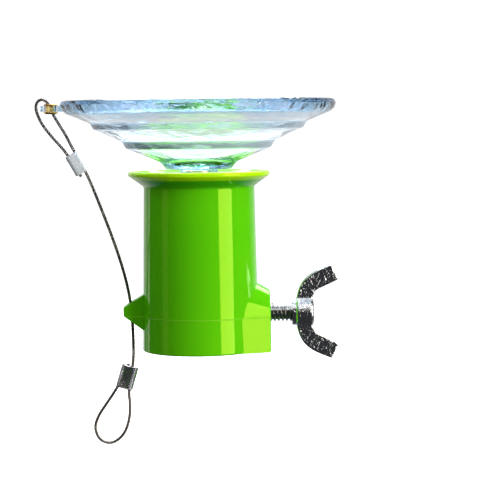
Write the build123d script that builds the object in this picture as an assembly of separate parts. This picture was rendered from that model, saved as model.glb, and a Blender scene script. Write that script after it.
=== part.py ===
"""Suction head for a light-bulb changing pole. Millimetres, +Z up towards the cup.
The origin is the centre of the pole bore's mouth, +X points to the wing screw."""

from build123d import *
from math import atan2, cos, degrees, hypot, pi, radians, sin, tan
import os

os.makedirs("parts", exist_ok=True)

# Pole socket
FOOT_R = 18.45
NECK_R = 17.5
NECK_Z = 52.0
LIP_R = 22.35
LIP_Z = 56.85
TOP_Z = 56.5
BORE_R = 13.0
STOP_Z = 38.0
CAVITY_R = 11.4
CAVITY_Z = 53.5
WEB_Z = 47.0
WEB_BOSS_R = 7.6
STEM_SEAT_Z = 50.0

# Boss for the clamp screw, on +X
BOSS_ROOT_X = 9.0
BOSS_FACE_X = 22.0
BOSS_HALF_W = 14.05
BOSS_FACE_HALF_W = 9.2
BOSS_SIDE_Z = 10.0
BOSS_TOP_Z = 26.2
BOSS_FACE_TOP_Z = 19.0
SEAM_Z = 11.1
SEAM_STEP = 0.35

# Guide lug for the pull cable, on -X
LUG_TIP_X = -24.35
LUG_HALF_W = 3.4
GUIDE_X = -21.8
GUIDE_R = 1.6

# Clamp screw, along X
SCREW_Z = 11.8
SCREW_R = 3.175
PASSAGE_R = 3.6
INSERT_R = 4.6
INSERT_X = 14.2
STUD_END_X = 15.05
STUD_HEAD_X = 34.0
SPIGOT_R = 2.6
PAD_X = 13.3
PAD_R = 2.7
PIVOT_R = 1.0
PIVOT_END_X = 17.5
COLLAR_X = 29.05
COLLAR_R = 4.3
HUB_X = 35.9
HUB_R = 4.7
WING_HALF_T = 1.5

# Fixing of the cup, under its stem
STEM_R = 6.0
STEM_INSERT_R = 3.9
M5_R = 2.5
WASHER_R = 6.5
WASHER_T = 1.2
LOCK_R = 4.6
LOCK_T = 1.5
HEAD_R = 4.7
HEAD_H = 3.2

# Cup tab and its eyelet
EYELET_X = -46.3
TAB_R = 3.3
TAB_Z0 = 76.0
TAB_Z1 = 77.8
TAB_HOLE_R = 1.8
EYELET_OR = 1.75
EYELET_IR = 1.42
EYELET_FLANGE_R = 2.3

# Pull cable and its crimped ferrules
CABLE_R = 0.5
UPPER_CENTRE = (-38.3, 59.7)
UPPER_LEAN = -29.7
LOWER_CENTRE = (-23.6, -8.4)
LOWER_LEAN = 16.5
UPPER_SIZE = (4.8, 2.6, 7.0)
LOWER_SIZE = (5.6, 2.8, 7.5)

# The cable's route in the XZ plane: from the cut end below the upper ferrule, up through it,
# through the eyelet from above, down through the ferrule, along the guide lug, through the
# lower ferrule, round the thumb loop and back into the lower ferrule
CABLE_ROUTE = [
    (-37.10, 55.50),
    (-41.00, 62.40),
    (-46.20, 68.20),
    (-49.30, 72.20),
    (-51.10, 76.60),
    (-50.75, 79.10),
    (-48.90, 80.15),
    (-46.90, 78.50),
    (-45.70, 75.10),
    (-41.90, 69.00),
    (-39.55, 64.10),
    (-35.45, 56.90),
    (-30.90, 45.20),
    (-26.60, 33.40),
    (-23.40, 22.60),
    (-21.85, 13.50),
    (-21.45, 3.00),
    (-21.50, -3.60),
    (-23.30, -12.60),
    (-22.70, -17.40),
    (-23.20, -22.60),
    (-25.00, -27.00),
    (-28.60, -29.70),
    (-32.60, -28.70),
    (-34.30, -24.60),
    (-33.00, -20.60),
    (-30.30, -16.80),
    (-26.10, -10.70),
    (-23.05, -4.10),
]


def turned(points, rounds={}):
    """A solid of revolution about Z from (radius, height) points. rounds maps a point's place
    in the list to the radius that rounds it."""
    outline = make_face(Polyline(*points, close=True))
    for place, radius in rounds.items():
        corner = outline.vertices().sort_by_distance((*points[place], 0))[0]
        outline = fillet(corner, radius)
    return revolve(Plane.XZ * outline, Axis.Z)


def along_x(radius, x0, x1):
    """A cylinder on the clamp screw's axis, from x0 to x1."""
    return extrude(Plane((x0, 0, SCREW_Z), z_dir=(1, 0, 0)) * Circle(radius), x1 - x0)


def upright(radius, z0, z1, x=0):
    """A cylinder along Z, from z0 to z1."""
    return extrude(Plane((x, 0, z0)) * Circle(radius), z1 - z0)


def arch(x, half_w, side_z, top_z):
    """The boss's outline at x: straight sides under half an ellipse."""
    crown = top_z - side_z
    sides = Pos(0, side_z / 2) * Rectangle(2 * half_w, side_z)
    top = Pos(0, side_z) * Ellipse(half_w, crown)
    lower = Pos(0, -crown) * Rectangle(4 * half_w, 2 * crown)
    return Plane((x, 0, 0), x_dir=(0, 1, 0), z_dir=(1, 0, 0)) * (sides + top - lower)


def slab(x, half_w, top_z):
    """The outline at x of the boss's wider part under the seam."""
    return Plane((x, 0, 0), x_dir=(0, 1, 0), z_dir=(1, 0, 0)) * (
        Pos(0, top_z / 2) * Rectangle(2 * half_w, top_z)
    )


def boss():
    """An arch that narrows towards its face, a little wider under the seam."""
    root = arch(BOSS_ROOT_X, BOSS_HALF_W, BOSS_SIDE_Z, BOSS_TOP_Z)
    face = arch(BOSS_FACE_X, BOSS_FACE_HALF_W, BOSS_SIDE_Z, BOSS_FACE_TOP_Z)
    upper = loft([root, face])
    upper = fillet(upper.faces().sort_by(Axis.X)[-1].edges(), 0.7)
    lower = loft(
        [
            slab(BOSS_ROOT_X, BOSS_HALF_W + SEAM_STEP, SEAM_Z),
            slab(BOSS_FACE_X, BOSS_FACE_HALF_W + SEAM_STEP, SEAM_Z),
        ]
    )
    rim = lower.faces().sort_by(Axis.X)[-1].edges()
    lower = fillet(rim.sort_by(Axis.Z)[:-1], 0.7)
    return upper + lower


def lug():
    outline = make_face(
        Polyline(
            (-15.0, 19.9),
            (LUG_TIP_X, 14.1),
            (LUG_TIP_X, 11.4),
            (-15.0, 4.5),
            close=True,
        )
    )
    block = extrude(Plane.XZ * outline, LUG_HALF_W, both=True)
    block = fillet(block.edges().group_by(Axis.X)[0], 0.5)
    return block - upright(GUIDE_R, 0, 25, x=GUIDE_X)


def socket_body():
    shell = turned(
        [
            (0, 0),
            (FOOT_R, 0),
            (NECK_R, NECK_Z),
            (21.5, 54.9),
            (LIP_R, 55.5),
            (LIP_R, LIP_Z),
            (20.2, LIP_Z),
            (19.4, TOP_Z),
            (0, TOP_Z),
        ],
        {1: 0.6, 2: 1.0, 4: 0.5, 5: 0.7},
    )
    body = shell + boss() + lug()
    body -= upright(BORE_R, -1, STOP_Z)
    body -= upright(CAVITY_R, STOP_Z - 1, WEB_Z)
    body -= upright(CAVITY_R, 40, CAVITY_Z) - upright(WEB_BOSS_R, 40, CAVITY_Z)
    body -= upright(STEM_R + 0.05, STEM_SEAT_Z, 60)
    body -= upright(M5_R + 0.25, 40, 60)
    body -= along_x(PASSAGE_R, 8, INSERT_X)
    body -= along_x(INSERT_R, INSERT_X, BOSS_FACE_X + 1)
    return body


def suction_cup():
    cup = turned(
        [
            (0, 57.05),
            (STEM_INSERT_R, 57.05),
            (STEM_INSERT_R, STEM_SEAT_Z + 0.05),
            (STEM_R, STEM_SEAT_Z + 0.05),
            (STEM_R, 57.5),
            (10.3, 57.5),
            (11.1, 58.6),
            (12.2, 59.8),
            (21.5, 63.6),
            (23.0, 64.2),
            (24.0, 66.2),
            (25.2, 66.8),
            (31.6, 69.8),
            (33.1, 70.2),
            (34.1, 72.1),
            (35.3, 72.6),
            (39.8, 74.5),
            (41.8, 75.2),
            (43.5, 77.2),
            (43.3, 79.2),
            (41.7, 79.2),
            (40.4, 78.0),
            (37.5, 76.0),
            (30.5, 71.9),
            (20.0, 65.6),
            (12.0, 61.9),
            (6.0, 60.6),
            (0, 60.4),
        ],
        {18: 1.2, 19: 0.7, 20: 0.7, 9: 0.5, 10: 0.6, 13: 0.5, 14: 0.6},
    )
    length = -42.0 - EYELET_X
    tab = Pos(-42.0 - length / 2, 0, (TAB_Z0 + TAB_Z1) / 2)
    tab *= Box(length, 2 * TAB_R, TAB_Z1 - TAB_Z0)
    tab += upright(TAB_R, TAB_Z0, TAB_Z1, x=EYELET_X)
    return cup + tab - upright(TAB_HOLE_R, TAB_Z0 - 1, TAB_Z1 + 1, x=EYELET_X)


def stem_insert():
    body = upright(STEM_INSERT_R, STEM_SEAT_Z + 0.1, 57.0)
    return body - upright(M5_R + 0.03, STEM_SEAT_Z, 56.2)


def retaining_washer():
    disc = upright(WASHER_R, WEB_Z - WASHER_T, WEB_Z)
    disc = fillet(disc.edges().sort_by(Axis.Z)[0], 0.3)
    return disc - upright(M5_R + 0.2, 40, 50)


def lock_washer():
    """A split spring washer."""
    top = WEB_Z - WASHER_T
    ring = upright(LOCK_R, top - LOCK_T, top) - upright(M5_R + 0.1, 40, 50)
    slot = Pos(0, 3.6, top - LOCK_T / 2) * Rot(0, 25, 0) * Box(0.5, 4.0, 4.0)
    return ring - slot


def cup_screw():
    """Pan-head screw with a cross recess, put in from below."""
    seat = WEB_Z - WASHER_T - LOCK_T
    head = upright(HEAD_R, seat - HEAD_H, seat)
    head = fillet(head.edges().sort_by(Axis.Z)[0], 1.2)
    cross = Box(5.0, 1.0, 3.0) + Box(1.0, 5.0, 3.0)
    head -= Pos(0, 0, seat - HEAD_H) * cross
    return head + upright(M5_R, seat - 0.5, 55.6)


def clamp_insert():
    body = along_x(INSERT_R - 0.02, INSERT_X + 0.02, BOSS_FACE_X - 0.1)
    groove = along_x(INSERT_R + 1, 17.6, 18.6) - along_x(INSERT_R - 0.5, 17, 19)
    return body - groove - along_x(SCREW_R + 0.045, 10, 25)


def screw_tip():
    """Swivel pad of soft plastic that bears on the pole."""
    pad = along_x(PAD_R, PAD_X, STUD_END_X - 0.05)
    pad = fillet(pad.edges().sort_by(Axis.X)[0], 0.6)
    return pad + along_x(PIVOT_R, STUD_END_X - 0.1, PIVOT_END_X)


def screw_stud():
    thread = along_x(SCREW_R, STUD_END_X, COLLAR_X)
    thread = chamfer(thread.edges().sort_by(Axis.X)[0], 0.5)
    stud = thread + along_x(SPIGOT_R, COLLAR_X, STUD_HEAD_X)
    return stud - along_x(PIVOT_R + 0.05, 10, PIVOT_END_X + 0.1)


def wing_outline():
    """Both wings in one outline: a convex back towards the socket and two blunt ears."""
    lean = radians(22)
    back = Spline(
        (41.6, -15.0),
        (36.0, -12.6),
        (32.6, -9.8),
        (30.7, -5.6),
        (30.1, 0),
        (30.7, 5.6),
        (32.6, 9.8),
        (36.0, 12.6),
        (41.6, 15.0),
        tangents=[(-cos(lean), sin(lean)), (cos(lean), sin(lean))],
    )
    front = Polyline(
        (41.6, 15.0),
        (43.9, 10.2),
        (37.0, 7.0),
        (35.5, 4.6),
        (35.5, -4.6),
        (37.0, -7.0),
        (43.9, -10.2),
        (41.6, -15.0),
    )
    outline = make_face(back + front)
    tips = outline.vertices().group_by(Axis.X)
    outline = fillet(tips[-1] + tips[-2], 0.5)
    inner = outline.vertices().filter_by(lambda v: 36.5 < v.X < 37.5)
    return fillet(inner, 2.0)


def wing_head():
    plane = Plane((0, 0, SCREW_Z), x_dir=(1, 0, 0), z_dir=(0, -1, 0))
    wings = extrude(plane * wing_outline(), WING_HALF_T, both=True)
    flat = wings.faces().filter_by(Axis.Y)
    wings = fillet(flat.edges(), 0.4)
    hub = along_x(HUB_R, COLLAR_X + 1.0, HUB_X)
    hub = fillet(hub.edges(), 1.0)
    collar = along_x(COLLAR_R, COLLAR_X, COLLAR_X + 1.6)
    head = wings + hub + collar
    return head - along_x(SPIGOT_R, COLLAR_X - 1, STUD_HEAD_X)


def eyelet():
    return turned_at(
        EYELET_X,
        [
            (EYELET_IR, 75.35),
            (2.0, 75.35),
            (2.0, 75.6),
            (EYELET_OR, 75.6),
            (EYELET_OR, TAB_Z1 + 0.05),
            (EYELET_FLANGE_R, TAB_Z1 + 0.05),
            (EYELET_FLANGE_R, 78.25),
            (EYELET_IR + 0.2, 78.35),
            (EYELET_IR, 78.2),
        ],
    )


def eyelet_washer():
    return turned_at(
        EYELET_X,
        [
            (EYELET_OR + 0.02, 75.62),
            (EYELET_FLANGE_R, 75.62),
            (EYELET_FLANGE_R, TAB_Z0 - 0.04),
            (EYELET_OR + 0.02, TAB_Z0 - 0.04),
        ],
    )


def turned_at(x, points):
    """A solid of revolution about the upright axis at x."""
    return Pos(x, 0, 0) * turned(points)


def ferrule(centre, lean, size):
    """A flattened oval sleeve, leaning to +X by lean degrees from the upright."""
    width, thick, length = size
    tilt = radians(lean)
    frame = Plane(
        (centre[0], 0, centre[1]),
        x_dir=(cos(tilt), 0, -sin(tilt)),
        z_dir=(sin(tilt), 0, cos(tilt)),
    )
    sleeve = extrude(SlotOverall(width, thick), length / 2, both=True)
    ends = sleeve.edges().group_by(Axis.Z)
    return frame * fillet(ends[0] + ends[-1], 0.35)


def route_radii(points):
    """The largest tangent arcs that fit between the runs of a route."""
    radii = []
    for a, b, c in zip(points, points[1:], points[2:]):
        first = hypot(b[0] - a[0], b[1] - a[1])
        second = hypot(c[0] - b[0], c[1] - b[1])
        heading_in = atan2(b[1] - a[1], b[0] - a[0])
        heading_out = atan2(c[1] - b[1], c[0] - b[0])
        turn = abs((degrees(heading_out - heading_in) + 180) % 360 - 180)
        radii.append(0.45 * min(first, second) / tan(radians(turn) / 2))
    return radii


def cable():
    radii = route_radii(CABLE_ROUTE)
    path = FilletPolyline(*[(x, 0, z) for x, z in CABLE_ROUTE], radius=radii)
    section = Plane(origin=path @ 0, z_dir=path % 0) * Circle(CABLE_R)
    tube = sweep(section, path=path)
    print("cable radii", [round(r, 1) for r in radii])
    print("cable length", round(path.length, 2), "volume", round(tube.volume, 3),
          "section x length", round(pi * CABLE_R**2 * path.length, 3))
    return tube


NODES = {
    "socket_body": socket_body,
    "clamp_insert": clamp_insert,
    "suction_cup": suction_cup,
    "stem_insert": stem_insert,
    "retaining_washer": retaining_washer,
    "lock_washer": lock_washer,
    "cup_screw": cup_screw,
    "screw_tip": screw_tip,
    "screw_stud": screw_stud,
    "wing_head": wing_head,
    "cable": cable,
    "upper_ferrule": lambda: ferrule(UPPER_CENTRE, UPPER_LEAN, UPPER_SIZE),
    "lower_ferrule": lambda: ferrule(LOWER_CENTRE, LOWER_LEAN, LOWER_SIZE),
    "eyelet": eyelet,
    "eyelet_washer": eyelet_washer,
}

for name, make in NODES.items():
    solid = make()
    print(name, "volume", round(solid.volume, 2), "valid", solid.is_valid, "solids", len(solid.solids()))
    export_step(solid, f"parts/{name}.step")
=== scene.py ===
# %% [markdown]
# # Suction head for a light-bulb changing pole
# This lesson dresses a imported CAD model: a lime-green pole socket, a clear stepped suction cup, a wing clamp
# screw and a steel pull cable that breaks the cup's grip. The CAD gives the bodies, the joints and the sizes.
# Blender adds what a moulded, cast or twisted surface looks like. Everything is in metres, with +Z up.

# %% Load the frame
import math

import bmesh
import bpy
import numpy as np
from mathutils import Matrix, Vector


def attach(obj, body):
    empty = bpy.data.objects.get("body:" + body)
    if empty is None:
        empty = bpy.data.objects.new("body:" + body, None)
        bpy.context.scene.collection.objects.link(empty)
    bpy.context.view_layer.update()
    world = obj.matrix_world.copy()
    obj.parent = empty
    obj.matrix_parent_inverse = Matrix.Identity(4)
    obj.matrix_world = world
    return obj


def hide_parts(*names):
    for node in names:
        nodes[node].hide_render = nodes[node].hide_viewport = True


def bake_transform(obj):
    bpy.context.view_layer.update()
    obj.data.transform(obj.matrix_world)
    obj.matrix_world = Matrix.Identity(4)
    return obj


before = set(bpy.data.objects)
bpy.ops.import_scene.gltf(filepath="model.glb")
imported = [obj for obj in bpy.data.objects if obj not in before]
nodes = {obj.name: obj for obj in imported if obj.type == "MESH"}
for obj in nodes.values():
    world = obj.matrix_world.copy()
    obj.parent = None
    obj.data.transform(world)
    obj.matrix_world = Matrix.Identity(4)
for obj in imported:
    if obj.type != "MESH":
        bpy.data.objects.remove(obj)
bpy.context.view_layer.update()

MM = 0.001

# %% [markdown]
# ## Camera
# A small object is best shown from some way off with a long lens, so that a round part's ellipses stay flat.
# The camera stands just under the cup's rim, 60 cm away, and looks slightly down, so that the rim shows as a
# straight edge while the foot of the socket shows a curve. It leans by about two thirds of a degree, which
# sets the head a little askew.

# %% Camera
LENS = 136.6
EYE = Vector((0.000, -0.600, 0.073))
AIM = Vector((0.0159, 0.0, 0.0316))
LEAN = math.radians(-0.65)


def place_camera(eye, aim, lens, lean):
    data = bpy.data.cameras.new("camera")
    data.lens = lens
    data.clip_start, data.clip_end = 0.01, 20.0
    camera = bpy.data.objects.new("camera", data)
    bpy.context.scene.collection.objects.link(camera)
    turn = (aim - eye).to_track_quat("-Z", "Y").to_matrix().to_4x4()
    camera.matrix_world = Matrix.Translation(eye) @ turn @ Matrix.Rotation(lean, 4, "Z")
    bpy.context.scene.camera = camera


place_camera(EYE, AIM, LENS, LEAN)
print("camera", round((AIM - EYE).length, 3), "m from its aim, lens", LENS, "mm")

# %% [markdown]
# ## Shader maths as plain expressions
# A material is a small program. Wrapping a socket in a class lets it be written as one: mask * 0.5 + 0.2 adds
# the two Math nodes by itself. Every other node comes from one method, which takes the node's type, its
# settings and what goes into its sockets.

# %% Socket class and material builder
class Value:
    """A number that varies over the surface. Arithmetic on it adds Math nodes."""

    def __init__(self, graph, socket):
        self.graph, self.socket = graph, socket

    def math(self, operation, a, b=0.0):
        return self.graph.add("Math", {0: a, 1: b}, operation=operation)

    def __add__(self, other):
        return self.math("ADD", self, other)

    def __sub__(self, other):
        return self.math("SUBTRACT", self, other)

    def __rsub__(self, other):
        return self.math("SUBTRACT", other, self)

    def __mul__(self, other):
        return self.math("MULTIPLY", self, other)

    def __truediv__(self, other):
        return self.math("DIVIDE", self, other)

    def __pow__(self, other):
        return self.math("POWER", self, other)

    __radd__, __rmul__ = __add__, __mul__

    def size(self):
        return self.math("ABSOLUTE", self)

    def step(self, low, high, to_low=0.0, to_high=1.0):
        """Goes smoothly from to_low to to_high as the value goes from low to high."""
        sockets = {"Value": self, "From Min": low, "From Max": high, "To Min": to_low, "To Max": to_high}
        return self.graph.add("MapRange", sockets, interpolation_type="SMOOTHSTEP")


class Graph:
    """The nodes of one material, or of the world."""

    def __init__(self, name, kind=None):
        self.block = (bpy.data.materials if kind is None else kind).new(name)
        self.block.use_nodes = True
        self.tree = self.block.node_tree
        self.tree.nodes.clear()

    def add(self, kind, inputs=None, out=0, **settings):
        node = self.tree.nodes.new("ShaderNode" + kind)
        for key, value in settings.items():
            if key == "stops":
                while len(node.color_ramp.elements) < len(value):
                    node.color_ramp.elements.new(0.5)
                for element, (place, colour) in zip(node.color_ramp.elements, value):
                    element.position, element.color = place, (*colour, 1.0)
            else:
                setattr(node, key, value)
        for key, value in (inputs or {}).items():
            if isinstance(value, Value):
                self.tree.links.new(value.socket, node.inputs[key])
            else:
                node.inputs[key].default_value = value
        return Value(self, node.outputs[out])

    def place(self, scale=(1.0, 1.0, 1.0)):
        """The point on the piece, in metres, with each axis scaled."""
        return self.add("Mapping", {"Vector": self.add("TexCoord", out="Object"), "Scale": scale})

    def axes(self, vector):
        """The three parts of a vector."""
        split = self.add("SeparateXYZ", {0: vector})
        return split, Value(self, split.socket.node.outputs[1]), Value(self, split.socket.node.outputs[2])

    def noise(self, vector, scale, detail=2.0, roughness=0.5, distortion=0.0):
        sockets = {"Vector": vector, "Scale": scale, "Detail": detail, "Roughness": roughness,
                   "Distortion": distortion}
        return self.add("TexNoise", sockets)

    def mix(self, factor, a, b):
        """Two colours, mixed by factor."""
        node = self.add("Mix", data_type="RGBA", clamp_factor=True).socket.node
        for key, value in ((0, factor), (6, a), (7, b)):
            if isinstance(value, Value):
                self.tree.links.new(value.socket, node.inputs[key])
            else:
                node.inputs[key].default_value = value if key == 0 else (*value, 1.0)
        return Value(self, node.outputs[2])

    def bump(self, height, distance, strength=1.0):
        return self.add("Bump", {"Height": height, "Distance": distance, "Strength": strength})

    def finish(self, surface, volume=None, output="ShaderNodeOutputMaterial"):
        output = self.tree.nodes.new(output)
        self.tree.links.new(surface.socket, output.inputs["Surface"])
        if volume:
            self.tree.links.new(volume.socket, output.inputs["Volume"])
        return self.block


def wear(node_name, material):
    """Gives a CAD node its finish."""
    data = nodes[node_name].data
    data.materials.clear()
    data.materials.append(material)


print("shader tools ready")

# %% [markdown]
# ## Lime-green moulded plastic
# The socket is injection moulded in glossy plastic. Such a surface is smooth but never quite flat: it has a
# faint ripple where the melt cooled, fine scuffs, and a raised line where the mould parted. The ripple and the
# line go into the bump, the scuffs into the roughness, and the colour drifts a little from place to place. The
# line is also painted a paler yellow-green, a painted highlight along the ridge. The flange's lip is painted
# yellower, a painted highlight where light falls on its top, and the flare under it a deeper green, a painted
# shade on its underside. The lamps alone didn't give that, so both get a colour of their own by height, which
# stays when the light changes.

# %% Socket plastic
PARTING_Z = 11.1 * MM
LIP_LOW, LIP_HIGH = 53.9 * MM, 54.9 * MM
FLARE_LOW, FLARE_HIGH = 51.0 * MM, 53.2 * MM
LIP_INSIDE, LIP_OUTSIDE = 19.2 * MM, 20.6 * MM


def socket_plastic():
    g = Graph("lime_plastic")
    here = g.place()
    x, y, z = g.axes(here)
    drift = g.noise(here, 38.0, 3.0, 0.55)
    cloud = g.noise(here, 11.0, 2.0)
    deep, bright = (0.075, 0.520, 0.003), (0.140, 0.640, 0.004)
    line = 1.0 - ((z - PARTING_Z) / (0.16 * MM)).size().step(0.3, 1.0)
    colour = g.mix(drift * 0.6 + cloud * 0.4, deep, bright)
    above = z.step(LIP_LOW, LIP_HIGH)
    # painted shade: the flare under the lip is made a deeper green, as if in its own shadow
    flare_painted_shade = z.step(FLARE_LOW, FLARE_HIGH) * (1.0 - above)
    colour = g.mix(flare_painted_shade * 0.75, colour, (0.020, 0.330, 0.003))
    across = (x * x + y * y) ** 0.5
    # painted highlight: the top of the lip is made yellower, as if lit from above
    lip_painted_light = above * across.step(LIP_INSIDE, LIP_OUTSIDE)
    colour = g.mix(lip_painted_light, colour, (0.440, 0.830, 0.004))
    # painted highlight: a paler yellow-green line along the parting ridge
    colour = g.mix(line * 0.35, colour, (0.42, 0.90, 0.08))
    scuff = g.noise(g.place(scale=(1.0, 1.0, 0.12)), 900.0, 4.0, 0.65)
    rough = scuff.step(0.45, 0.80, 0.045, 0.13)
    ripple = g.noise(g.place(scale=(1.0, 1.0, 0.25)), 70.0, 1.5)
    peel = g.noise(here, 1400.0, 2.0)
    height = ripple * 0.35 + peel * 0.010 + line * 0.60
    shader = g.add("BsdfPrincipled", {
        "Base Color": colour, "Roughness": rough, "IOR": 1.52, "Specular Tint": (0.95, 1.0, 0.10, 1.0),
        "Subsurface Weight": 0.10, "Subsurface Radius": (0.35, 1.0, 0.05), "Subsurface Scale": 0.002,
        "Normal": g.bump(height, 0.10 * MM)})
    return g.finish(shader)


wear("socket_body", socket_plastic())
print("socket plastic on", len(nodes["socket_body"].data.polygons), "faces")

# %% [markdown]
# ## Modelling by hand, in code
# Each new piece starts from a primitive and is shaped in edit mode, as one would at the screen: rings are
# extruded and scaled, edges are picked by their place and bevelled. An operator works on whatever is selected,
# and the CAD nodes arrive selected, so every piece starts by deselecting all.

# %% Edit-mode helpers
def deselect():
    if bpy.context.mode != "OBJECT":
        bpy.ops.object.mode_set(mode="OBJECT")
    bpy.ops.object.select_all(action="DESELECT")


def activate(obj):
    deselect()
    obj.select_set(True)
    bpy.context.view_layer.objects.active = obj


def pick_edges(obj, test):
    """In edit mode, selects edges with both ends passing test, a function of a point in millimetres."""
    bpy.ops.mesh.select_all(action="DESELECT")
    bpy.ops.mesh.select_mode(type="EDGE")
    mesh = bmesh.from_edit_mesh(obj.data)
    place = obj.matrix_world
    for edge in mesh.edges:
        edge.select_set(all(test((place @ v.co) / MM) for v in edge.verts))
    bmesh.update_edit_mesh(obj.data)


def settle(obj, name, smooth=40.0):
    """Puts the piece's place into its mesh, turns its faces outwards and smooths it below an angle."""
    activate(obj)
    obj.name = obj.data.name = name
    bpy.ops.object.transform_apply(location=True, rotation=True, scale=True)
    bpy.ops.object.mode_set(mode="EDIT")
    bpy.ops.mesh.select_all(action="SELECT")
    bpy.ops.mesh.remove_doubles(threshold=0.002 * MM)
    bpy.ops.mesh.normals_make_consistent(inside=False)
    bpy.ops.object.mode_set(mode="OBJECT")
    bpy.ops.object.shade_smooth_by_angle(angle=math.radians(smooth))
    print(name, "has", len(obj.data.polygons), "faces")
    return obj


def apply_modifier(obj, kind, **settings):
    activate(obj)
    modifier = obj.modifiers.new(kind.lower(), kind)
    for key, value in settings.items():
        setattr(modifier, key, value)
    bpy.ops.object.modifier_apply(modifier=modifier.name)


def turn_profile(name, profile, segments, closed=False, x=0.0):
    """A turned piece: a ring is extruded and scaled from one (radius, height) point to the next. closed joins
    the last ring to the first, and otherwise both ends are filled."""
    deselect()
    (radius, height), *rest = profile
    bpy.ops.mesh.primitive_circle_add(vertices=segments, radius=radius * MM, fill_type="NOTHING",
                                      location=(x * MM, 0, height * MM))
    obj = bpy.context.object
    bpy.ops.object.mode_set(mode="EDIT")
    bpy.ops.mesh.select_all(action="SELECT")
    if not closed:
        bpy.ops.mesh.edge_face_add()
        pick_edges(obj, lambda p: True)
    for new_radius, new_height in rest:
        bpy.ops.mesh.extrude_edges_move(TRANSFORM_OT_translate={"value": (0, 0, (new_height - height) * MM)})
        grow = new_radius / radius
        bpy.ops.transform.resize(value=(grow, grow, 1), center_override=(x * MM, 0, new_height * MM))
        radius, height = new_radius, new_height
    if closed:
        bpy.ops.mesh.select_all(action="SELECT")
        bpy.ops.mesh.remove_doubles(threshold=0.005 * MM)
    else:
        bpy.ops.mesh.edge_face_add()
    bpy.ops.object.mode_set(mode="OBJECT")
    obj.name = name
    return obj


def round_rings(obj, rings, x=0.0, segments=3):
    """Bevels the rings at these (radius, height, width) places of a turned piece."""
    activate(obj)
    bpy.ops.object.mode_set(mode="EDIT")
    for radius, height, width in rings:
        def on_ring(p, radius=radius, height=height):
            return abs(p.z - height) < 0.02 and abs(math.hypot(p.x - x, p.y) - radius) < 0.05
        pick_edges(obj, on_ring)
        bpy.ops.mesh.bevel(offset=width * MM, segments=segments, profile=0.5)
    bpy.ops.object.mode_set(mode="OBJECT")


print("modelling tools ready")

# %% [markdown]
# ## Suction cup
# The cup is moulded in one piece from soft clear vinyl: a smooth bowl inside, and outside three cones parted
# by two upright steps, with a heavy rounded lip. It is taken as round, so a turned profile is the natural way
# to make it. The small tab for the eyelet grows out of the lip, so it is joined to the cup with a union and
# not laid against it: clear material shows every inner wall.

# %% Cup
CUP_PROFILE = [
    (0.9, 57.05), (3.9, 57.05), (3.9, 50.05), (6.0, 50.05), (6.0, 57.5), (10.3, 57.5), (11.1, 58.6),
    (12.2, 59.8), (21.5, 63.6), (23.0, 64.2), (24.0, 66.2), (25.2, 66.8), (31.6, 69.8), (33.1, 70.2),
    (34.1, 72.1), (35.3, 72.6), (39.8, 74.5), (41.8, 75.3), (43.1, 76.5), (43.5, 78.0), (43.0, 79.1),
    (42.1, 79.4), (41.2, 78.9), (40.0, 77.8), (37.5, 76.0), (30.5, 71.9), (20.0, 65.6), (12.0, 61.9),
    (6.0, 60.6), (1.5, 60.4),
]
CUP_ROUNDS = [
    (6.0, 50.05, 0.4), (6.0, 57.5, 0.25), (10.3, 57.5, 0.35), (11.1, 58.6, 0.4), (12.2, 59.8, 0.4),
    (21.5, 63.6, 0.35), (23.0, 64.2, 0.45), (24.0, 66.2, 0.5), (25.2, 66.8, 0.5), (31.6, 69.8, 0.35),
    (33.1, 70.2, 0.45), (34.1, 72.1, 0.5), (35.3, 72.6, 0.5), (39.8, 74.5, 0.5), (12.0, 61.9, 2.2),
    (6.0, 60.6, 1.5), (20.0, 65.6, 2.5), (30.5, 71.9, 2.5), (37.5, 76.0, 1.0),
]
EYELET_X = -46.3
TAB_R = 3.3
TAB_ROOT_X = -42.0
TAB_LOW, TAB_HIGH = 76.0, 77.8
HOLE_R = 1.8


def make_tab():
    """A flat tongue with a round end, reaching from the rim to the eyelet."""
    deselect()
    bpy.ops.mesh.primitive_cylinder_add(vertices=48, radius=TAB_R * MM, depth=(TAB_HIGH - TAB_LOW) * MM,
                                        location=(EYELET_X * MM, 0, (TAB_HIGH + TAB_LOW) / 2 * MM))
    tab = bpy.context.object
    bpy.ops.object.mode_set(mode="EDIT")
    mesh = bmesh.from_edit_mesh(tab.data)
    for vertex in mesh.verts:
        vertex.select_set(vertex.co.x > -0.01 * MM)
    mesh.select_flush(True)
    bmesh.update_edit_mesh(tab.data)
    bpy.ops.transform.translate(value=((TAB_ROOT_X - EYELET_X) * MM, 0, 0))
    bpy.ops.object.mode_set(mode="OBJECT")
    return settle(tab, "tab_blank")


def make_cup():
    cup = turn_profile("suction_cup_clear", CUP_PROFILE, 160)
    round_rings(cup, CUP_ROUNDS)
    settle(cup, "suction_cup_clear")
    tab = make_tab()
    apply_modifier(cup, "BOOLEAN", object=tab, operation="UNION", solver="EXACT")
    bpy.data.objects.remove(tab)
    deselect()
    bpy.ops.mesh.primitive_cylinder_add(vertices=48, radius=HOLE_R * MM, depth=6 * MM,
                                        location=(EYELET_X * MM, 0, 77 * MM))
    punch = bpy.context.object
    apply_modifier(cup, "BOOLEAN", object=punch, operation="DIFFERENCE", solver="EXACT")
    bpy.data.objects.remove(punch)
    return settle(cup, "suction_cup_clear", 34.0)


cup = make_cup()

# %% [markdown]
# ## Clear vinyl
# Clear vinyl bends light like glass, but it is softer: its surface has faint flow marks, and its thick parts
# look blue. The tint is a volume, so thick beads come out bluer than thin walls by themselves. The rim also
# gets
# blue swirls in its surface colour: a painted reflection, standing in for the blue surroundings that the thick
# rim bends into view. Lamps are let through by a transparent shader for their rays, or the cup would throw a
# black shadow on the socket. The steps are to show as two pale rings, but clear vinyl alone left them dark, so
# their narrow upright faces are mixed with a pale matt surface: painted light, standing in for the light that
# the steps bend. That is a choice made for the look.

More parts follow.
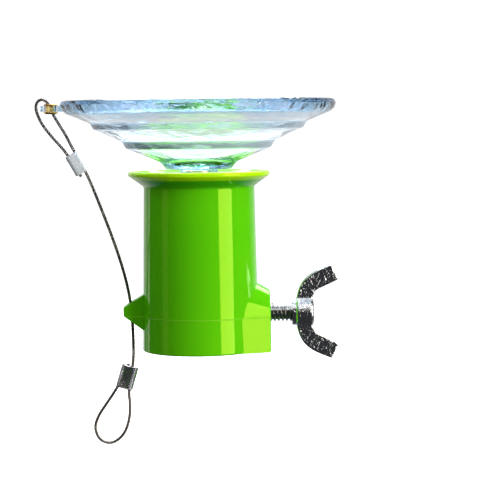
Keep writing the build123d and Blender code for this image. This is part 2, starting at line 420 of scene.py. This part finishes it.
# %% Cup material
RIM_LOW, RIM_FULL = 74.4 * MM, 75.4 * MM
RIM_R, RIM_EDGE = 43.6 * MM, 44.4 * MM
SOFT = 0.3 * MM


def band(value, low, high):
    """1 between low and high, in millimetres, fading to 0 on each side."""
    low, high = low * MM, high * MM
    return value.step(low - SOFT, low) * (1.0 - value.step(high, high + SOFT))


def clear_vinyl():
    g = Graph("clear_vinyl")
    here = g.place()
    flow = g.noise(g.place(scale=(1.0, 1.0, 2.2)), 95.0, 3.0, 0.55, 1.2)
    fine = g.noise(here, 420.0, 2.0)
    normal = g.bump(flow + fine * 0.10, 0.45 * MM, 0.8)
    haze = g.noise(here, 60.0, 3.0).step(0.45, 0.8, 0.015, 0.06)
    x, y, z = g.axes(here)
    across = (x * x + y * y) ** 0.5
    swirl = g.noise(g.place(scale=(1.0, 1.0, 2.6)), 70.0, 3.0, 0.6, 2.5)
    # painted reflection: blue swirls over the rim band, in its surface colour
    rim_painted_reflection = z.step(RIM_LOW, RIM_FULL) * (1.0 - across.step(RIM_R, RIM_EDGE))
    tint_and_rim_reflection = g.mix(g.noise(here, 30.0, 2.0), (0.93, 0.975, 1.0), (0.97, 0.99, 1.0))
    tint_and_rim_reflection = g.mix(rim_painted_reflection * swirl.step(0.30, 0.62, 0.25, 0.95), tint_and_rim_reflection, (0.50, 0.76, 0.96))
    glass = g.add("BsdfPrincipled", {
        "Base Color": tint_and_rim_reflection, "Roughness": haze, "IOR": 1.50, "Transmission Weight": 1.0, "Normal": normal})
    # painted light: a pale matt surface, mixed onto the two steps' upright faces
    painted_pale_rings = g.add("BsdfPrincipled", {
        "Base Color": (0.66, 0.80, 0.93, 1.0), "Roughness": 0.35, "Normal": normal})
    lower = band(z, 64.1, 66.4) * band(across, 22.6, 25.0)
    upper = band(z, 70.2, 72.2) * band(across, 32.8, 35.1)
    glass = g.add("MixShader", {0: (lower + upper * 0.7) * 0.55, 1: glass, 2: painted_pale_rings})
    open_way = g.add("BsdfTransparent", {"Color": (0.93, 0.97, 1.0, 1.0)})
    lamp_ray = g.add("LightPath", out="Is Shadow Ray")
    surface = g.add("MixShader", {0: lamp_ray, 1: glass, 2: open_way})
    volume = g.add("VolumeAbsorption", {"Color": (0.28, 0.64, 0.90, 1.0), "Density": 42.0})
    return g.finish(surface, volume)


cup.data.materials.append(clear_vinyl())
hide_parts("suction_cup")
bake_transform(cup)
print("cup replaces its CAD node")

# %% [markdown]
# ## Pull cable
# The cable is a one-millimetre steel wire rope. It hangs from the eyelet in a small loop closed by a ferrule,
# runs down through the guide lug and ends in a thumb loop. It is stiff enough to keep long gentle curves. The
# route is a few points that a smooth spline follows. Six strands and a core are then wound round that spline,
# because at this size the twist is what tells the eye that it is wire.

# %% Cable route
ROUTE = [
    (-37.10, 55.50), (-41.00, 62.40), (-46.20, 68.20), (-49.30, 72.20), (-51.10, 76.60), (-50.75, 79.10),
    (-48.90, 80.15), (-46.90, 78.50), (-45.70, 75.10), (-41.90, 69.00), (-39.55, 64.10), (-35.45, 56.90),
    (-30.90, 45.20), (-26.60, 33.40), (-23.40, 22.60), (-21.85, 13.50), (-21.45, 3.00), (-21.50, -3.60),
    (-23.30, -12.60), (-22.70, -17.40), (-23.20, -22.60), (-25.00, -27.00), (-28.60, -29.70),
    (-32.60, -28.70), (-34.30, -24.60), (-33.00, -20.60), (-30.30, -16.80), (-26.10, -10.70),
    (-23.05, -4.10),
]
CABLE_D = 1.0


def read_route(points):
    """The line of a NURBS spline through the route, as points."""
    curve = bpy.data.curves.new("route", "CURVE")
    curve.dimensions = "3D"
    spline = curve.splines.new("NURBS")
    spline.points.add(len(points) - 1)
    for control, (x, z) in zip(spline.points, points):
        control.co = (x * MM, 0, z * MM, 1)
    spline.order_u = 3
    spline.use_endpoint_u = True
    spline.resolution_u = 24
    guide = bpy.data.objects.new("route", curve)
    bpy.context.scene.collection.objects.link(guide)
    bpy.context.view_layer.update()
    mesh = bpy.data.meshes.new_from_object(guide)
    line = np.array([v.co[:] for v in mesh.vertices])
    bpy.data.objects.remove(guide)
    bpy.data.meshes.remove(mesh)
    return line


def even_steps(line, step):
    """The same line with its points a step apart."""
    runs = np.linalg.norm(np.diff(line, axis=0), axis=1)
    along = np.concatenate([[0.0], np.cumsum(runs)])
    places = np.linspace(0.0, along[-1], int(along[-1] / step) + 1)
    return np.column_stack([np.interp(places, along, line[:, k]) for k in range(3)]), places


route_line = read_route(ROUTE)
centre, along = even_steps(route_line, 0.25 * MM)
cable_length = float(along[-1])
print("cable", round(cable_length / MM, 1), "mm long,", len(centre), "steps")

# %% Cable strands
STRAND_R = 0.165
LAY = 6.6
STRANDS = 6


def wind(centre, along, radius, offset, phase, sides=8):
    """The rings of one strand wound round the line at an offset from it."""
    tangent = np.gradient(centre, axis=0)
    tangent /= np.linalg.norm(tangent, axis=1)[:, None]
    side = np.tile([0.0, 1.0, 0.0], (len(centre), 1))
    normal = np.cross(side, tangent)
    angle = 2 * math.pi * along / (LAY * MM) + phase
    outward = np.cos(angle)[:, None] * normal + np.sin(angle)[:, None] * side
    path = centre + outward * offset
    heading = np.gradient(path, axis=0)
    heading /= np.linalg.norm(heading, axis=1)[:, None]
    across = np.cross(heading, outward)
    across /= np.linalg.norm(across, axis=1)[:, None]
    rings = []
    for k in range(sides):
        a = 2 * math.pi * k / sides
        rings.append(path + radius * (math.cos(a) * outward + math.sin(a) * across))
    return np.stack(rings, axis=1)


def make_cable():
    verts, faces, uvs = [], [], []
    strands = [(STRAND_R * 0.95, 0.0, 0.0)]
    strands += [(STRAND_R, CABLE_D / 2 - STRAND_R, 2 * math.pi * k / STRANDS) for k in range(STRANDS)]
    for radius, offset, phase in strands:
        rings = wind(centre, along, radius * MM, offset * MM, phase)
        steps, sides, _ = rings.shape
        base = len(verts)
        verts.extend(map(tuple, rings.reshape(-1, 3)))
        for i in range(steps - 1):
            for k in range(sides):
                a, b = base + i * sides + k, base + i * sides + (k + 1) % sides
                faces.append((a, b, b + sides, a + sides))
                low, high = along[i] / MM, along[i + 1] / MM
                left, right = k / sides, (k + 1) / sides
                uvs.extend([(left, low), (right, low), (right, high), (left, high)])
        for start, order in ((base, range(sides - 1, -1, -1)), (base + (steps - 1) * sides, range(sides))):
            faces.append(tuple(start + k for k in order))
            uvs.extend([(0.5, along[0] / MM)] * sides)
    mesh = bpy.data.meshes.new("pull_cable_rope")
    mesh.from_pydata(verts, [], faces)
    layer = mesh.uv_layers.new(name="wires")
    layer.data.foreach_set("uv", np.array(uvs, np.float32).ravel())
    obj = bpy.data.objects.new("pull_cable_rope", mesh)
    bpy.context.scene.collection.objects.link(obj)
    activate(obj)
    bpy.ops.object.mode_set(mode="EDIT")
    bpy.ops.mesh.select_all(action="SELECT")
    bpy.ops.mesh.normals_make_consistent(inside=False)
    bpy.ops.object.mode_set(mode="OBJECT")
    bpy.ops.object.shade_smooth_by_angle(angle=math.radians(60))
    return obj


rope = make_cable()
print("rope has", len(rope.data.polygons), "faces")

# %% Rope material
def wire_rope():
    """Steel wires, bright where a strand faces out and dark brown in the grooves, which is painted shade."""
    g = Graph("wire_rope")
    uv = g.add("TexCoord", out="UV")
    u, v, _ = g.axes(uv)
    turned = (u * 6.0 + v * 2.2) * (2 * math.pi)
    wires = turned.math("SINE", turned).step(-1.0, 1.0)
    stain = g.noise(g.place(), 260.0, 4.0, 0.6)
    metal = g.mix(stain.step(0.35, 0.7), (0.86, 0.78, 0.73), (0.52, 0.42, 0.37))
    # painted shade: each strand is darkened away from its outward face, down into the grooves between strands
    crest = u.math("COSINE", u * (2 * math.pi)).step(0.72, 0.97)
    metal = g.mix(crest, (0.045, 0.030, 0.025), metal)
    # painted shade: the grooves between the wires of a strand are darkened too
    colour = g.mix(wires.step(0.0, 0.45, 0.55, 0.0), metal, (0.055, 0.038, 0.030))
    rough = stain.step(0.3, 0.8, 0.26, 0.48)
    shader = g.add("BsdfPrincipled", {
        "Base Color": colour, "Metallic": 1.0, "Roughness": rough,
        "Normal": g.bump(wires, 0.05 * MM)})
    return g.finish(shader)


rope.data.materials.append(wire_rope())
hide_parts("cable")
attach(rope, "pull_cable")

# %% [markdown]
# ## Ferrules
# A ferrule is a short soft-metal sleeve pressed over two lengths of the rope. The upper one is pressed between
# smooth dies and stays bright, and its near-white colour is also painted light, as if a lamp washed it out. The
# lower one is pressed between knurled dies, which leave a net of diamonds.
# Both start as a cylinder, flattened to an oval. The net is modelled: quads are poked and joined across their
# old edges into diamonds, and each diamond's centre is pushed in.

# %% Ferrule sleeves
def oval_sleeve(width, thick, length, rows, columns):
    """A flattened tube standing at the origin, open at both ends, with rows of even quads."""
    deselect()
    bpy.ops.mesh.primitive_circle_add(vertices=columns, radius=thick / 2 * MM, fill_type="NOTHING",
                                      location=(0, 0, -length / 2 * MM))
    obj = bpy.context.object
    bpy.ops.object.mode_set(mode="EDIT")
    mesh = bmesh.from_edit_mesh(obj.data)
    flat = (width - thick) * 2
    curved = math.pi * thick
    for k, vertex in enumerate(mesh.verts):
        run = (k / columns) * (flat + curved)
        vertex.co.xy = [c * MM for c in around_oval(run, width, thick)]
    bmesh.update_edit_mesh(obj.data)
    bpy.ops.mesh.select_all(action="SELECT")
    for _ in range(rows):
        bpy.ops.mesh.extrude_edges_move(TRANSFORM_OT_translate={"value": (0, 0, length / rows * MM)})
    bpy.ops.object.mode_set(mode="OBJECT")
    bpy.ops.object.transform_apply(location=True)
    return obj


def around_oval(run, width, thick):
    """The point of a slot's outline at a distance round it from the start of its front side."""
    straight, bend = width - thick, math.pi * thick / 2
    half = thick / 2
    if run < straight:
        return run - straight / 2, -half
    if run < straight + bend:
        a = (run - straight) / half - math.pi / 2
        return straight / 2 + half * math.cos(a), half * math.sin(a)
    if run < 2 * straight + bend:
        return straight / 2 - (run - straight - bend), half
    a = (run - 2 * straight - bend) / half + math.pi / 2
    return -straight / 2 + half * math.cos(a), half * math.sin(a)


def close_ends(obj, length):
    """Rounds both ends in and fills them."""
    activate(obj)
    bpy.ops.object.mode_set(mode="EDIT")
    for end in (-1, 1):
        z = end * length / 2
        pick_edges(obj, lambda p, z=z: abs(p.z - z) < 0.01)
        for push, narrow in ((0.12, 0.955), (0.06, 0.90), (0.0, 0.80)):
            bpy.ops.mesh.extrude_edges_move(TRANSFORM_OT_translate={"value": (0, 0, end * push * MM)})
            bpy.ops.transform.resize(value=(narrow, narrow, 1), center_override=(0, 0, z * MM))
        bpy.ops.mesh.edge_face_add()
    bpy.ops.object.mode_set(mode="OBJECT")


def stand_ferrule(obj, centre, lean):
    obj.matrix_world = (Matrix.Translation((centre[0] * MM, 0, centre[1] * MM))
                        @ Matrix.Rotation(math.radians(lean), 4, "Y"))
    return obj


UPPER_LENGTH, LOWER_LENGTH = 6.6, 7.1


def make_upper_ferrule():
    sleeve = oval_sleeve(4.75, 2.55, UPPER_LENGTH, 12, 48)
    close_ends(sleeve, UPPER_LENGTH)
    stand_ferrule(sleeve, (-38.3, 59.7), -29.7)
    return settle(sleeve, "upper_ferrule_sleeve", 50.0)


def make_lower_ferrule():
    sleeve = oval_sleeve(5.5, 2.7, LOWER_LENGTH, 8, 16)
    activate(sleeve)
    bpy.ops.object.mode_set(mode="EDIT")
    bpy.ops.mesh.select_all(action="SELECT")
    bpy.ops.mesh.poke()
    bpy.ops.mesh.select_all(action="SELECT")
    bpy.ops.mesh.tris_convert_to_quads(face_threshold=math.radians(180), shape_threshold=math.radians(180))
    bpy.ops.mesh.select_all(action="SELECT")
    bpy.ops.mesh.poke(offset=-0.27 * MM)
    bpy.ops.object.mode_set(mode="OBJECT")
    close_ends(sleeve, LOWER_LENGTH)
    stand_ferrule(sleeve, (-23.6, -8.4), 16.5)
    return settle(sleeve, "lower_ferrule_sleeve", 25.0)


upper_ferrule = make_upper_ferrule()
lower_ferrule = make_lower_ferrule()

# %% Ferrule metal
def ferrule_metal(name, light, dark, low, high, metallic):
    g = Graph(name)
    here = g.place()
    cloud = g.noise(here, 420.0, 4.0, 0.6)
    drawn = g.noise(g.place(scale=(1.0, 1.0, 0.2)), 2600.0, 3.0)
    colour = g.mix(cloud.step(0.35, 0.7), light, dark)
    rough = cloud.step(0.3, 0.75, low, high)
    shader = g.add("BsdfPrincipled", {
        "Base Color": colour, "Metallic": metallic, "Roughness": rough,
        "Normal": g.bump(drawn + cloud * 2.0, 0.03 * MM)})
    return g.finish(shader)


# painted light: the upper sleeve gets a near-white colour, as if washed out by a lamp
upper_ferrule.data.materials.append(
    ferrule_metal("bright_ferrule", (0.97, 0.97, 0.97), (0.86, 0.86, 0.87), 0.42, 0.58, 0.35))
lower_ferrule.data.materials.append(
    ferrule_metal("dark_ferrule", (0.66, 0.66, 0.67), (0.30, 0.29, 0.30), 0.14, 0.30, 1.0))
for sleeve, node in ((upper_ferrule, "upper_ferrule"), (lower_ferrule, "lower_ferrule")):
    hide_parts(node)
    "bright_ferrule" if node == "upper_ferrule" else "dark_ferrule"
    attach(sleeve, "pull_cable")

# %% [markdown]
# ## Eyelet
# The eyelet is a brass tube with a flange, pushed through the tab from above and rolled over a washer below.
# The washer is a guess. The flange is rolled, never a flat disc, and that curl is what catches the light.

# %% Eyelet and washer
def make_eyelet():
    profile = [
        (1.42, 75.5), (1.50, 75.32), (1.72, 75.24), (1.95, 75.32), (2.02, 75.48), (1.92, 75.60),
        (1.75, 75.62), (1.75, 77.86), (1.95, 77.90), (2.20, 77.88), (2.30, 78.02), (2.28, 78.20),
        (2.10, 78.36), (1.85, 78.42), (1.60, 78.34), (1.45, 78.15), (1.42, 77.8), (1.42, 76.5),
    ]
    obj = turn_profile("eyelet_rolled", profile + profile[:1], 64, closed=True, x=EYELET_X)
    return settle(obj, "eyelet_rolled", 60.0)


def make_eyelet_washer():
    profile = [
        (1.78, 75.66), (2.10, 75.62), (2.28, 75.66), (2.34, 75.78), (2.28, 75.92), (2.10, 75.96),
        (1.78, 75.95),
    ]
    obj = turn_profile("eyelet_back_washer", profile + profile[:1], 64, closed=True, x=EYELET_X)
    return settle(obj, "eyelet_back_washer", 60.0)


def brass(name, bright, brown):
    g = Graph(name)
    here = g.place()
    cloud = g.noise(here, 700.0, 4.0, 0.65, 0.6)
    spots = g.noise(here, 2100.0, 3.0, 0.7)
    colour = g.mix(cloud.step(0.42, 0.62), bright, brown)
    rough = spots.step(0.35, 0.7, 0.14, 0.36)
    shader = g.add("BsdfPrincipled", {
        "Base Color": colour, "Metallic": 1.0, "Roughness": rough,
        "Normal": g.bump(cloud + spots * 0.5, 0.05 * MM)})
    return g.finish(shader)


eyelet_brass = brass("eyelet_brass", (0.85, 0.56, 0.14), (0.34, 0.15, 0.03))
insert_brass = brass("brass_insert", (0.80, 0.58, 0.24), (0.60, 0.40, 0.14))
for piece, node in ((make_eyelet(), "eyelet"), (make_eyelet_washer(), "eyelet_washer")):
    piece.data.materials.append(eyelet_brass)
    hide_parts(node)
    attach(piece, "pull_cable")
wear("clamp_insert", insert_brass)
wear("stem_insert", insert_brass)

# %% [markdown]
# ## Clamp screw
# The stud is taken to have a quarter-inch thread, twenty to the inch. The brass insert in the boss that it
# runs through is a guess. The CAD keeps the thread as a plain cylinder. Here it is real: one tooth's outline
# is wound along the axis by a Screw modifier, a right-hand helix, and both ends are then cut square.

# %% Threaded stud
SCREW_Z = 11.8
PITCH = 1.27
CREST, ROOT = 3.16, 2.42
THREAD_FROM, TURNS = 14.4, 13
STUD_TIP_X, STUD_HEAD_X = 15.10, 29.4


def make_stud():
    tooth = [(0.0, ROOT), (0.13, ROOT), (0.54, CREST), (0.73, CREST), (1.14, ROOT), (PITCH, ROOT)]
    mesh = bpy.data.meshes.new("stud_tooth")
    outline = [((THREAD_FROM + x) * MM, r * MM, 0) for x, r in tooth]
    mesh.from_pydata(outline, [(k, k + 1) for k in range(len(tooth) - 1)], [])
    stud = bpy.data.objects.new("stud_tooth", mesh)
    bpy.context.scene.collection.objects.link(stud)
    apply_modifier(stud, "SCREW", axis="X", screw_offset=PITCH * MM, iterations=TURNS, steps=40,
                   render_steps=40, use_merge_vertices=True, merge_threshold=0.01 * MM)
    stud.location.z = SCREW_Z * MM
    bpy.ops.object.transform_apply(location=True, rotation=True, scale=True)
    bpy.ops.object.mode_set(mode="EDIT")
    for x, outer in ((STUD_TIP_X, False), (STUD_HEAD_X, True)):
        bpy.ops.mesh.select_all(action="SELECT")
        bpy.ops.mesh.bisect(plane_co=(x * MM, 0, 0), plane_no=(1, 0, 0), use_fill=True,
                            clear_outer=outer, clear_inner=not outer)
    bpy.ops.object.mode_set(mode="OBJECT")
    return settle(stud, "screw_stud_thread", 38.0)


stud = make_stud()


def thread_steel():
    g = Graph("thread_steel")
    here = g.place()
    cloud = g.noise(here, 500.0, 4.0, 0.6)
    colour = g.mix(cloud.step(0.4, 0.7), (0.72, 0.72, 0.71), (0.42, 0.41, 0.40))
    shader = g.add("BsdfPrincipled", {
        "Base Color": colour, "Metallic": 1.0, "Roughness": cloud.step(0.3, 0.8, 0.10, 0.26),
        "Normal": g.bump(cloud, 0.04 * MM)})
    return g.finish(shader)


stud.data.materials.append(thread_steel())
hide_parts("screw_stud")
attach(stud, "wing_screw")

# %% [markdown]
# ## Wing head
# The wing is taken to be a small zinc casting, plated bright. The plating is to look hammered, full of small
# black and white sparks. The CAD shape is kept, so only the finish is made.

# %% Wing metal
def cast_chrome():
    g = Graph("wing_metal")
    here = g.place()
    dents = g.add("TexVoronoi", {"Vector": here, "Scale": 1100.0}, feature="SMOOTH_F1")
    pits = g.add("TexVoronoi", {"Vector": here, "Scale": 2600.0}, feature="F1")
    grain = g.noise(here, 1500.0, 4.0, 0.7)
    wavy = g.noise(here, 330.0, 3.0, 0.6)
    colour = g.mix(grain.step(0.4, 0.75), (0.90, 0.90, 0.91), (0.60, 0.60, 0.62))
    shader = g.add("BsdfPrincipled", {
        "Base Color": colour, "Metallic": 1.0, "Roughness": grain.step(0.35, 0.75, 0.06, 0.20),
        "Normal": g.bump(dents * 1.4 + pits * 0.7 + grain * 0.8 + wavy * 1.4, 0.10 * MM)})
    return g.finish(shader)


wear("wing_head", cast_chrome())

# %% [markdown]
# ## Small parts inside
# The inserts, the washers, the cup's screw and the pad at the stud's tip are hidden, and all of them are
# guesses. They keep their CAD shapes and get plain finishes.

# %% Small parts inside
def zinc_plate():
    g = Graph("zinc_steel")
    here = g.place()
    cloud = g.noise(here, 350.0, 4.0, 0.6)
    colour = g.mix(cloud.step(0.35, 0.7), (0.70, 0.71, 0.73), (0.52, 0.53, 0.52))
    shader = g.add("BsdfPrincipled", {
        "Base Color": colour, "Metallic": 1.0, "Roughness": cloud.step(0.3, 0.8, 0.22, 0.40),
        "Normal": g.bump(cloud, 0.03 * MM)})
    return g.finish(shader)


def pad_plastic():
    g = Graph("pad_plastic")
    here = g.place()
    cloud = g.noise(here, 500.0, 3.0)
    colour = g.mix(cloud, (0.80, 0.79, 0.72), (0.86, 0.85, 0.80))
    shader = g.add("BsdfPrincipled", {
        "Base Color": colour, "Roughness": cloud.step(0.3, 0.7, 0.38, 0.52), "Subsurface Weight": 0.2,
        "Subsurface Radius": (1.0, 0.9, 0.7), "Subsurface Scale": 0.001, "Normal": g.bump(cloud, 0.04 * MM)})
    return g.finish(shader)


zinc = zinc_plate()
for node in ("retaining_washer", "lock_washer", "cup_screw"):
    wear(node, zinc)
wear("screw_tip", pad_plastic())

# %% [markdown]
# ## Studio
# The head hangs in front of white paper. Chrome and clear plastic show only what is round them, so the room
# matters more than the lamps: white behind, at the height of the head, blue-grey above and below, and dark
# behind the camera, which is what turns the wing's flat faces black. No real room could suit chrome, clear
# plastic and green plastic at once, so the world shows each kind of ray its own: dark ahead for reflections,
# pale ahead for light that came through the cup, and little of anything for light that scatters. A tall soft
# box on the right gives the socket its long highlight. The floor is only looked at, and neither lights the
# head nor shows in it.

# %% Floor
FLOOR_Z = -0.075


def make_floor():
    deselect()
    bpy.ops.mesh.primitive_plane_add(size=8.0, location=(0, 0, FLOOR_Z))
    floor = bpy.context.object
    floor.name = "floor"
    g = Graph("floor_paper")
    speck = g.noise(g.place(), 300.0, 3.0)
    colour = g.mix(speck, (0.90, 0.90, 0.90), (0.93, 0.93, 0.93))
    floor.data.materials.append(g.finish(g.add("BsdfPrincipled", {
        "Base Color": colour, "Roughness": speck.step(0.3, 0.7, 0.7, 0.8),
        "Emission Color": (1.0, 1.0, 1.0, 1.0), "Emission Strength": 1.0})))
    for ray in ("diffuse", "glossy", "transmission", "shadow"):
        setattr(floor, "visible_" + ray, False)


make_floor()

# %% World
def make_world():
    g = Graph("studio", bpy.data.worlds)
    direction = g.add("TexCoord", out="Generated")
    _, depth, height = g.axes(direction)
    tilt = g.add("ValToRGB", {0: height.size()}, stops=[
        (0.0, (1.0, 1.0, 1.0)), (0.42, (1.0, 1.0, 1.0)),
        (0.66, (0.46, 0.70, 0.92)), (0.97, (0.26, 0.46, 0.66))])
    gloss = g.add("LightPath", out="Is Glossy Ray")
    through = g.add("LightPath", out="Is Transmission Ray")
    scattered = g.add("LightPath", out="Is Diffuse Ray")
    behind = g.mix(gloss * 0.3, tilt, (0.0, 0.0, 0.0))
    ahead = g.mix(through, (0.030, 0.032, 0.036), (0.66, 0.74, 0.92))
    wide, narrow = depth.step(-0.45, 0.15), depth.step(0.45, 0.90)
    room = g.mix(wide + gloss * (narrow - wide), ahead, behind)
    room = g.mix(scattered * 0.82, room, (0.0, 0.0, 0.0))
    seen = g.add("Background", {0: (1.0, 1.0, 1.0, 1.0), 1: 1.2})
    felt = g.add("Background", {0: room, 1: 1.0})
    surface = g.add("MixShader", {0: g.add("LightPath", out="Is Camera Ray"), 1: felt, 2: seen})
    bpy.context.scene.world = g.finish(surface, output="ShaderNodeOutputWorld")


make_world()
bpy.context.scene.view_settings.view_transform = "Standard"
print("world ready")

# %% Soft boxes
def soft_box(name, bearing, elevation, distance, size, brightness, colour=(1, 1, 1)):
    """A rectangular lamp at a bearing from the camera's side of the head, in degrees to the right."""
    turn, rise = math.radians(bearing), math.radians(elevation)
    aim = Vector((0, 0, 0.035))
    level = math.cos(rise)
    spot = aim + distance * Vector((math.sin(turn) * level, -math.cos(turn) * level, math.sin(rise)))
    data = bpy.data.lights.new(name, "AREA")
    data.shape = "RECTANGLE"
    data.size, data.size_y = size
    data.energy = brightness * math.pi * size[0] * size[1]
    data.color = colour
    lamp = bpy.data.objects.new(name, data)
    lamp.location = spot
    lamp.rotation_euler = (aim - spot).to_track_quat("-Z", "Y").to_euler()
    lamp.visible_camera = False
    bpy.context.scene.collection.objects.link(lamp)
    print(name, "at", [round(v, 2) for v in spot])
    return lamp


soft_box("key_right", 54.5, 6, 0.75, (0.41, 0.80), 6.5, (1.0, 0.98, 0.90))
soft_box("above_camera", 4, 50, 0.80, (0.80, 0.55), 1.3)
soft_box("left_strip", -74, 4, 0.80, (0.20, 0.80), 0.40)
soft_box("edge_left", -126, 6, 0.80, (0.05, 0.80), 1.5)
soft_box("top_back", 165, 52, 0.80, (0.70, 0.70), 6.0)
fill = soft_box("fill_left", -30, 8, 0.90, (0.80, 0.80), 0.55)
fill.visible_glossy = False
